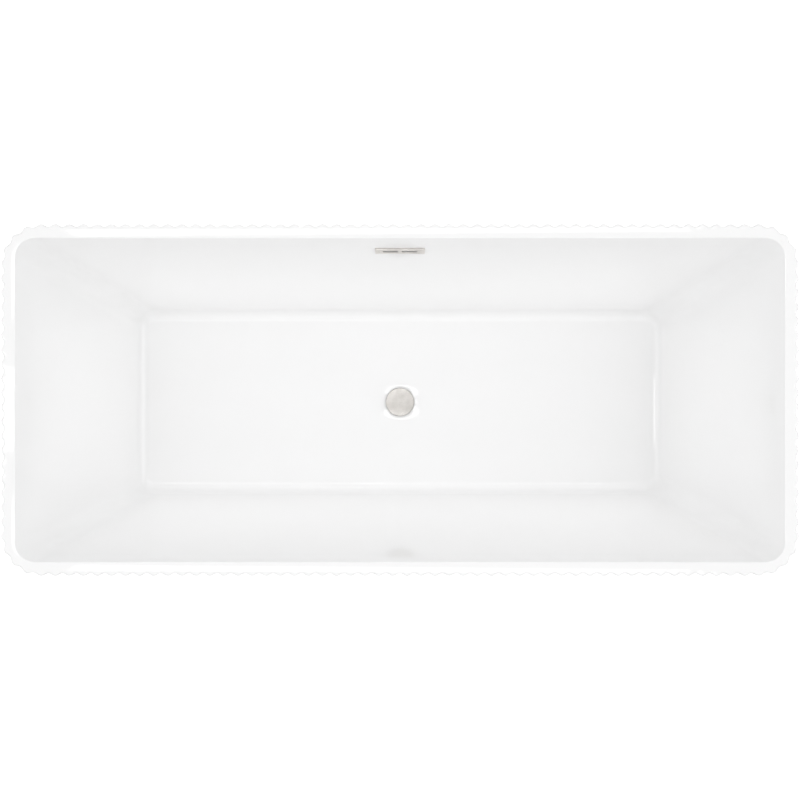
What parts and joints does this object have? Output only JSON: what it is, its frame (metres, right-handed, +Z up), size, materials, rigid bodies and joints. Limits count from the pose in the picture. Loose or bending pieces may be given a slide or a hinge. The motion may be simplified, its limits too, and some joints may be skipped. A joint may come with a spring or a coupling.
{
  "type": "freestanding bathtub",
  "caption": "Freestanding rectangular bathtub with a fluted skirt, sloping basin, slotted overflow, click waste, steel under-frame and adjustable screw feet.",
  "frame": {"origin": "middle of the tub's footprint, on the floor", "axes": "+Z up, +X along the tub, +Y towards the side with the overflow"},
  "size_m": [1.7, 0.75, 0.58],
  "materials": {
    "acrylic": "gloss white",
    "laminate": "rough glass-fibre laminate",
    "plywood": "raw plywood",
    "frame_steel": "satin black powder coat",
    "zinc_steel": "bright zinc",
    "clip_steel": "stainless strip",
    "black_plastic": "moulded black",
    "nickel": "satin nickel",
    "waste_brass": "turned brass",
    "white_plastic": "moulded white",
    "hose_grey": "flexible grey",
    "seal_rubber": "soft black rubber"
  },
  "bodies": {
    "tub": {"basin_shell": "acrylic", "outer_skirt": "acrylic", "basin_backing": "laminate", "base_board": "plywood", "skirt_batten_front": "plywood", "skirt_batten_back": "plywood", "skirt_batten_left": "plywood", "skirt_batten_right": "plywood", "frame_rail_front": "frame_steel", "frame_rail_back": "frame_steel", "frame_cross_left": "frame_steel", "frame_cross_right": "frame_steel", "frame_cross_middle": "frame_steel", "frame_bolts": "zinc_steel", "frame_nuts": "zinc_steel", "board_screws": "zinc_steel", "bracket_screws": "zinc_steel", "weld_nuts": "zinc_steel", "foot_locknuts": "zinc_steel", "skirt_bracket_front_left": "zinc_steel", "skirt_bracket_front_right": "zinc_steel", "skirt_bracket_back_left": "zinc_steel", "skirt_bracket_back_right": "zinc_steel", "hose_clip_lower": "clip_steel", "hose_clip_upper": "clip_steel", "overflow_screws": "clip_steel", "plug_spring": "clip_steel", "frame_end_caps": "black_plastic", "overflow_cover": "nickel", "waste_flange": "nickel", "click_cartridge": "nickel", "waste_locknut": "waste_brass", "waste_shoe": "white_plastic", "tail_nut": "white_plastic", "tailpiece": "white_plastic", "overflow_body": "white_plastic", "overflow_plate": "white_plastic", "overflow_hose": "hose_grey", "waste_gasket_upper": "seal_rubber", "waste_gasket_lower": "seal_rubber", "tail_washer": "seal_rubber", "overflow_gasket_front": "seal_rubber", "overflow_gasket_back": "seal_rubber"},
    "plug_rod": {"plug_stem": "nickel"},
    "plug": {"plug_cap": "nickel", "plug_seal": "seal_rubber"},
    "foot_front_left": {"foot_front_left_pad": "black_plastic"},
    "stud_front_left": {"foot_front_left_stud": "zinc_steel"},
    "foot_front_right": {"foot_front_right_pad": "black_plastic"},
    "stud_front_right": {"foot_front_right_stud": "zinc_steel"},
    "foot_back_left": {"foot_back_left_pad": "black_plastic"},
    "stud_back_left": {"foot_back_left_stud": "zinc_steel"},
    "foot_back_right": {"foot_back_right_pad": "black_plastic"},
    "stud_back_right": {"foot_back_right_stud": "zinc_steel"},
    "foot_middle": {"foot_middle_pad": "black_plastic"},
    "stud_middle": {"foot_middle_stud": "zinc_steel"}
  },
  "joints": [
    {"name": "plug_lift", "type": "slide", "parent": "tub", "child": "plug_rod", "axis": [0, 0, 1], "range_m": [0, 0.008], "deforming": ["plug_spring"]},
    {"name": "plug_turn", "type": "hinge", "parent": "plug_rod", "child": "plug", "pos_m": [0, 0, 0.148], "axis": [0, 0, 1], "continuous": true},
    {"name": "foot_front_left_lift", "type": "slide", "parent": "tub", "child": "foot_front_left", "axis": [0, 0, -1], "range_m": [-0.005, 0.015]},
    {"name": "foot_front_left_screw", "type": "hinge", "parent": "foot_front_left", "child": "stud_front_left", "pos_m": [-0.43, -0.25, 0.016], "axis": [0, 0, -1], "range_deg": [-1029, 3086]},
    {"name": "foot_front_right_lift", "type": "slide", "parent": "tub", "child": "foot_front_right", "axis": [0, 0, -1], "range_m": [-0.005, 0.015]},
    {"name": "foot_front_right_screw", "type": "hinge", "parent": "foot_front_right", "child": "stud_front_right", "pos_m": [0.43, -0.25, 0.016], "axis": [0, 0, -1], "range_deg": [-1029, 3086]},
    {"name": "foot_back_left_lift", "type": "slide", "parent": "tub", "child": "foot_back_left", "axis": [0, 0, -1], "range_m": [-0.005, 0.015]},
    {"name": "foot_back_left_screw", "type": "hinge", "parent": "foot_back_left", "child": "stud_back_left", "pos_m": [-0.43, 0.25, 0.016], "axis": [0, 0, -1], "range_deg": [-1029, 3086]},
    {"name": "foot_back_right_lift", "type": "slide", "parent": "tub", "child": "foot_back_right", "axis": [0, 0, -1], "range_m": [-0.005, 0.015]},
    {"name": "foot_back_right_screw", "type": "hinge", "parent": "foot_back_right", "child": "stud_back_right", "pos_m": [0.43, 0.25, 0.016], "axis": [0, 0, -1], "range_deg": [-1029, 3086]},
    {"name": "foot_middle_lift", "type": "slide", "parent": "tub", "child": "foot_middle", "axis": [0, 0, -1], "range_m": [-0.005, 0.015]},
    {"name": "foot_middle_screw", "type": "hinge", "parent": "foot_middle", "child": "stud_middle", "pos_m": [0.15, 0, 0.016], "axis": [0, 0, -1], "range_deg": [-1029, 3086]}
  ],
  "couplings": [
    {"joint": "foot_front_left_screw", "follows": "foot_front_left_lift", "rad_per_m": 3590.4},
    {"joint": "foot_front_right_screw", "follows": "foot_front_right_lift", "rad_per_m": 3590.4},
    {"joint": "foot_back_left_screw", "follows": "foot_back_left_lift", "rad_per_m": 3590.4},
    {"joint": "foot_back_right_screw", "follows": "foot_back_right_lift", "rad_per_m": 3590.4},
    {"joint": "foot_middle_screw", "follows": "foot_middle_lift", "rad_per_m": 3590.4}
  ]
}
